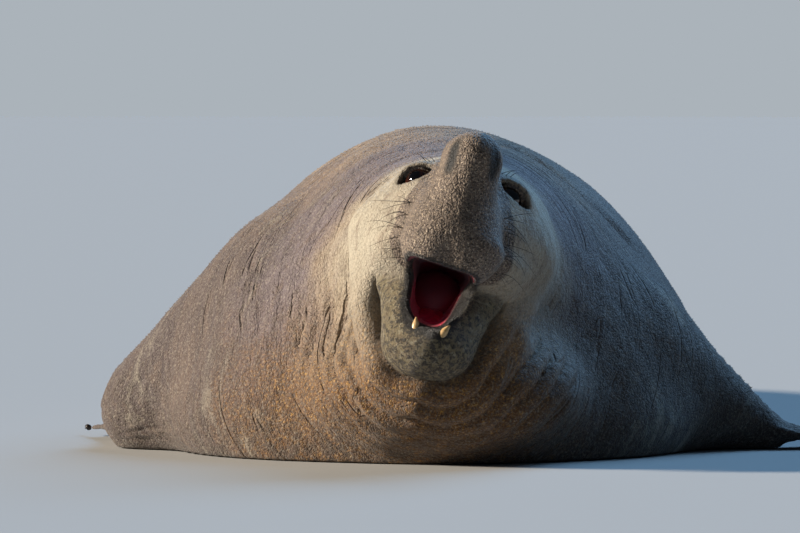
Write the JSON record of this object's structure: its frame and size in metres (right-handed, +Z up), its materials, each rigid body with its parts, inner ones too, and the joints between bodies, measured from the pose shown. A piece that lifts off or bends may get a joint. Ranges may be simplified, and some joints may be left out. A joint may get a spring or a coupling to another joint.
{
  "type": "elephant seal",
  "caption": "Bull southern elephant seal lying on its belly with its head raised, proboscis lifted and mouth open, life size, as a still museum model",
  "frame": {"origin": "middle of the footprint, at ground level", "axes": "+Z up, the seal faces -Y, its left side is +X"},
  "size_m": [2.0484, 4.7212, 0.8031],
  "materials": {
    "hide": "short worn coat, mottled tan and grey brown, matte",
    "nose_hide": "dark wrinkled skin with pale flecks, matte",
    "eye": "wet and dark, brown red where light enters",
    "tooth": "worn yellow ivory",
    "mouth": "wet crimson flesh"
  },
  "bodies": {
    "root": {"head": "hide", "proboscis": "nose_hide", "lower_jaw": "hide", "neck": "hide", "torso": "hide", "hindquarters": "hide", "fore_flipper_left": "hide", "fore_flipper_right": "hide", "hind_flipper_left": "hide", "hind_flipper_right": "hide", "tail": "hide", "eye_left": "eye", "eye_right": "eye", "canine_left": "tooth", "canine_right": "tooth", "tongue": "mouth"}
  },
  "joints": []
}
